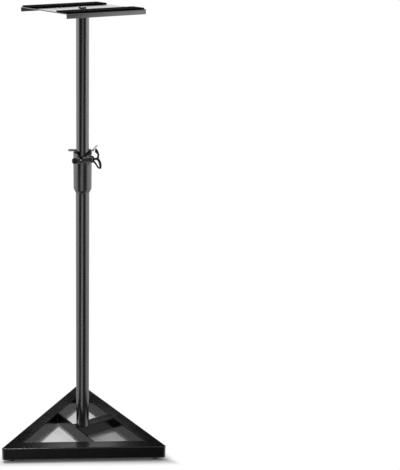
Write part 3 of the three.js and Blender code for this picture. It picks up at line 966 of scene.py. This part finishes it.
class STAND_OT_pin(bpy.types.Operator):
    """Polishes the locking pin and its pull loop"""

    bl_idname = "stand.pin"
    bl_label = "Locking pin"

    def execute(self, context):
        eased("locking_pin", "pin_eased", "pin", "steel", 0.2 * MM)
        eased("pin_loop", "loop_eased", "pin", "steel", 0)
        return {"FINISHED"}


# ---------------------------------------------------------------- plate


class STAND_OT_plate(bpy.types.Operator):
    """Eases the folded plate, its bolt and the two anti-slip strips"""

    bl_idname = "stand.plate"
    bl_label = "Top plate"

    def execute(self, context):
        size = sizes()
        eased(
            "top_plate",
            "plate_eased",
            "mast",
            "tube_paint",
            size.edge_round,
            change=self.even_lips,
        )
        eased("centre_bolt", "centre_bolt_eased", "mast", "base_paint", 0.4 * MM)
        for side in ("left", "right"):
            eased(side + "_pad", side + "_strip", "mast", "pad_rubber", size.pad_round)
        return {"FINISHED"}

    def even_lips(self, plate):
        """Mirrors the plate's left half, so that both lips stand upright at full thickness."""
        editing(plate)
        bpy.ops.mesh.select_all(action="SELECT")
        bpy.ops.mesh.bisect(plane_co=(0, 0, 0), plane_no=(1, 0, 0), clear_outer=True)
        edited(plate)
        apply_modifier(plate, "MIRROR", merge_threshold=0.01 * MM)


# ---------------------------------------------------------------- finishes on the frame


class STAND_OT_finishes(bpy.types.Operator):
    """Makes the finishes and gives every frame node its own"""

    bl_idname = "stand.finishes"
    bl_label = "Finishes"

    def execute(self, context):
        make_finishes()
        for nodes in FINISH_OF_NODE.values():
            for node in nodes.split():
                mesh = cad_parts[node].data
                mesh.materials.clear()
                mesh.materials.append(finish_for(node))
        return {"FINISHED"}


# ---------------------------------------------------------------- stage


CAMERA_AXIS_DISTANCE = 2.4859
CAMERA_HEIGHT = 1.4086
CAMERA_TURN = math.radians(58.17)
CAMERA_PITCH = math.radians(72.07)
CAMERA_LENS = 75.61
CAMERA_SENSOR = 36
CAMERA_SHIFT = 0.24987
FLOOR_WIDTH = 14


def from_camera(turn, distance, height):
    """A point round the pole, turned from the camera's side by an angle to the right."""
    angle = CAMERA_TURN + math.radians(turn)
    return Vector(
        (
            POLE.x + distance * math.sin(angle),
            POLE.y - distance * math.cos(angle),
            height,
        )
    )


def floor_material():
    """A pale floor that keeps the object's shadow and turns white away from the base."""
    material = bpy.data.materials.new("pale_floor")
    material.use_nodes = True
    tree = material.node_tree
    kit = Nodes(tree)
    shader = tree.nodes["Principled BSDF"]
    grey = studio().floor_colour
    shader.inputs["Base Color"].default_value = (grey, grey, grey, 1)
    shader.inputs["Roughness"].default_value = 0.9
    shader.inputs["Specular IOR Level"].default_value = 0.1
    glow = kit.add("ShaderNodeEmission")
    glow.inputs["Color"].default_value = (1, 1, 1, 1)
    place = kit.add("ShaderNodeTexCoord")
    centred = kit.add("ShaderNodeVectorMath", operation="SUBTRACT")
    kit.link(place.outputs["Object"], centred.inputs[0])
    centred.inputs[1].default_value = (POLE.x, POLE.y, 0)
    # The distance outside the triangle's three sides is the largest of three.
    beyond = None
    for turn in (90, 210, 330):
        side = kit.add("ShaderNodeVectorMath", operation="DOT_PRODUCT")
        kit.link(centred.outputs[0], side.inputs[0])
        angle = math.radians(turn)
        side.inputs[1].default_value = (math.cos(angle), math.sin(angle), 0)
        value = side.outputs["Value"]
        beyond = value if beyond is None else kit.math("MAXIMUM", beyond, value)
    reach = REAR_Y - POLE.y
    shaded, white = reach - 6 * MM, reach + 28 * MM
    away = kit.ramp(beyond, shaded, white)
    path = kit.add("ShaderNodeLightPath")
    seen = kit.math("ADD", path.outputs["Is Camera Ray"], path.outputs["Is Glossy Ray"])
    seen = kit.math("ADD", seen, path.outputs["Is Transmission Ray"], clamp=True)
    blend = kit.add("ShaderNodeMixShader")
    kit.link(kit.math("MULTIPLY", away, seen), blend.inputs[0])
    kit.link(shader.outputs[0], blend.inputs[1])
    kit.link(glow.outputs[0], blend.inputs[2])
    kit.link(blend.outputs[0], tree.nodes["Material Output"].inputs["Surface"])
    return material


def lamp(name, turn, distance, height, aim_height, width, tall, power):
    """A soft rectangular lamp that looks at the pole."""
    data = bpy.data.lights.new(name, "AREA")
    data.shape = "RECTANGLE"
    data.size, data.size_y = width, tall
    data.energy = power
    light = bpy.data.objects.new(name, data)
    bpy.context.scene.collection.objects.link(light)
    light.location = from_camera(turn, distance, height)
    aim = Vector((POLE.x, POLE.y, aim_height)) - light.location
    light.rotation_euler = aim.to_track_quat("-Z", "Y").to_euler()
    return light


class STAND_OT_stage(bpy.types.Operator):
    """Lays the floor and sets the lamps, the room light and the camera"""

    bl_idname = "stand.stage"
    bl_label = "Stage"

    def execute(self, context):
        self.floor()
        self.lamps()
        self.room(context.scene)
        self.camera(context.scene)
        context.scene.view_settings.view_transform = "Standard"
        return {"FINISHED"}

    def floor(self):
        nothing_selected()
        bpy.ops.mesh.primitive_plane_add(size=FLOOR_WIDTH)
        floor = bpy.context.object
        floor.name = "floor"
        floor.data.materials.append(floor_material())
        floor.visible_glossy = False

    def lamps(self):
        look = studio()
        lamp(
            "overhead_lamp",
            turn=-100,
            distance=0.46,
            height=3.4,
            aim_height=0.0,
            width=0.5,
            tall=0.5,
            power=look.key_power,
        )
        back = lamp(
            "back_lamp",
            turn=180,
            distance=1.2,
            height=0.93,
            aim_height=0.05,
            width=0.3,
            tall=0.26,
            power=look.back_power,
        )
        back.visible_camera = False

    def room(self, scene):
        """White all round for the camera; gloss also sees the room's dark side and ceiling."""
        world = bpy.data.worlds.new("studio_room")
        scene.world = world
        world.use_nodes = True
        tree = world.node_tree
        kit = Nodes(tree)
        ambient = tree.nodes["Background"]
        ambient.inputs["Color"].default_value = (1, 1, 1, 1)
        ambient.inputs["Strength"].default_value = studio().world_strength
        value = self.seen_in_gloss(kit)
        gloss = kit.add("ShaderNodeBackground")
        gloss.inputs["Color"].default_value = (1, 1, 1, 1)
        kit.link(value, gloss.inputs["Strength"])
        white = kit.add("ShaderNodeBackground")
        white.inputs["Color"].default_value = (1, 1, 1, 1)
        path = kit.add("ShaderNodeLightPath")
        straight = kit.math(
            "ADD", path.outputs["Is Camera Ray"], path.outputs["Is Transmission Ray"], clamp=True
        )
        first = kit.add("ShaderNodeMixShader")
        kit.link(path.outputs["Is Glossy Ray"], first.inputs[0])
        kit.link(ambient.outputs[0], first.inputs[1])
        kit.link(gloss.outputs[0], first.inputs[2])
        second = kit.add("ShaderNodeMixShader")
        kit.link(straight, second.inputs[0])
        kit.link(first.outputs[0], second.inputs[1])
        kit.link(white.outputs[0], second.inputs[2])
        kit.link(second.outputs[0], tree.nodes["World Output"].inputs["Surface"])

    def seen_in_gloss(self, kit):
        """How bright the room is in the direction that a glossy face looks.

        A turn is in degrees round the pole, from the camera's side to the right. A height
        is the sine of the angle over the horizon.
        """
        place = kit.add("ShaderNodeTexCoord")
        split = kit.add("ShaderNodeSeparateXYZ")
        kit.link(place.outputs["Generated"], split.inputs[0])
        height = split.outputs["Z"]

        def towards(turn):
            node = kit.add("ShaderNodeVectorMath", operation="DOT_PRODUCT")
            kit.link(place.outputs["Generated"], node.inputs[0])
            node.inputs[1].default_value = from_camera(turn, 1, 0) - from_camera(turn, 0, 0)
            return node.outputs["Value"]

        def by_height(low, high, first, last):
            return kit.scaled(height, low, high, first, last)

        turn = kit.math("ARCTAN2", towards(90), towards(0))
        turn = kit.math("MULTIPLY", turn, 180 / math.pi)
        # The right side's edge is sharp near the horizon and soft further down.
        edge_turn = by_height(-0.2, -0.09, first=56.0, last=64.3)
        edge_width = by_height(-0.2, -0.09, first=14.0, last=1.6)
        edge = kit.math("DIVIDE", kit.math("SUBTRACT", turn, edge_turn), edge_width)
        right_side = kit.ramp(edge, -1.0, 1.0)
        left_side = kit.ramp(kit.math("MULTIPLY", turn, -1.0), 54.0, 74.0)
        sides = kit.math("MAXIMUM", right_side, left_side)
        sides = kit.math("MULTIPLY", sides, by_height(-0.45, -0.1, first=0.5, last=1.15))
        # A pale strip of floor that leads from the stand to the camera's side.
        strip_turn = kit.math("ADD", kit.math("MULTIPLY", height, 66.0), 14.0)
        off_strip = kit.math("ABSOLUTE", kit.math("SUBTRACT", turn, strip_turn))
        strip = kit.math("SUBTRACT", 1.0, kit.ramp(off_strip, 5.0, 22.0))
        strip = kit.math("MULTIPLY", strip, by_height(-0.1, -0.42, first=0.3, last=1.0))
        strip = kit.math("MULTIPLY", strip, kit.ramp(height, -0.5, -0.44))
        below = kit.math("SUBTRACT", 1.0, kit.ramp(height, 0.14, 0.34))
        lit = kit.math("MULTIPLY", kit.math("MAXIMUM", sides, strip), below)
        # The dark side is a little paler straight down.
        dark = studio().dark_card
        dark = by_height(-0.5, -0.44, first=2.6 * dark, last=dark)
        # Over the camera's side the ceiling is pale.
        ceiling = kit.ramp(height, 0.3, 0.5)
        near = kit.math("SUBTRACT", 1.0, kit.ramp(kit.math("ABSOLUTE", turn), 70.0, 110.0))
        ceiling = kit.math("MULTIPLY", kit.math("MULTIPLY", ceiling, near), 0.9)
        return kit.math("ADD", kit.math("ADD", lit, ceiling), dark)

    def camera(self, scene):
        data = bpy.data.cameras.new("camera")
        data.lens = CAMERA_LENS
        data.sensor_width = CAMERA_SENSOR
        data.shift_x = CAMERA_SHIFT
        camera = bpy.data.objects.new("camera", data)
        scene.collection.objects.link(camera)
        camera.location = from_camera(0, CAMERA_AXIS_DISTANCE, CAMERA_HEIGHT)
        camera.rotation_euler = (CAMERA_PITCH, 0, CAMERA_TURN)
        scene.camera = camera


# ---------------------------------------------------------------- add-on


class STAND_PT_pieces(bpy.types.Panel):
    """Lists the stand's settings and the operators that make it"""

    bl_idname = "STAND_PT_pieces"
    bl_label = "Speaker stand"
    bl_space_type = "VIEW_3D"
    bl_region_type = "UI"
    bl_category = "Stand"

    def draw(self, context):
        for name, group in GROUPS:
            for setting in group.__annotations__:
                self.layout.prop(getattr(context.scene, name), setting)
        for operator in OPERATORS:
            self.layout.operator(operator.bl_idname)


GROUPS = (
    ("stand_sizes", StandSizes),
    ("stand_finishes", StandFinishes),
    ("stand_studio", StandStudio),
)
OPERATORS = (
    STAND_OT_stage,
    STAND_OT_finishes,
    STAND_OT_base,
    STAND_OT_feet,
    STAND_OT_pole,
    STAND_OT_clamp,
    STAND_OT_pin,
    STAND_OT_plate,
)


def register():
    for name, group in GROUPS:
        bpy.utils.register_class(group)
        setattr(bpy.types.Scene, name, PointerProperty(type=group))
    for operator in OPERATORS:
        bpy.utils.register_class(operator)
    bpy.utils.register_class(STAND_PT_pieces)


def unregister():
    bpy.utils.unregister_class(STAND_PT_pieces)
    for operator in reversed(OPERATORS):
        bpy.utils.unregister_class(operator)
    for name, group in reversed(GROUPS):
        delattr(bpy.types.Scene, name)
        bpy.utils.unregister_class(group)


def main():
    register()
    bpy.ops.stand.stage()
    bpy.ops.stand.finishes()
    bpy.ops.stand.base()
    bpy.ops.stand.feet()
    bpy.ops.stand.pole()
    bpy.ops.stand.clamp()
    bpy.ops.stand.pin()
    bpy.ops.stand.plate()


if __name__ == "__main__":
    main()
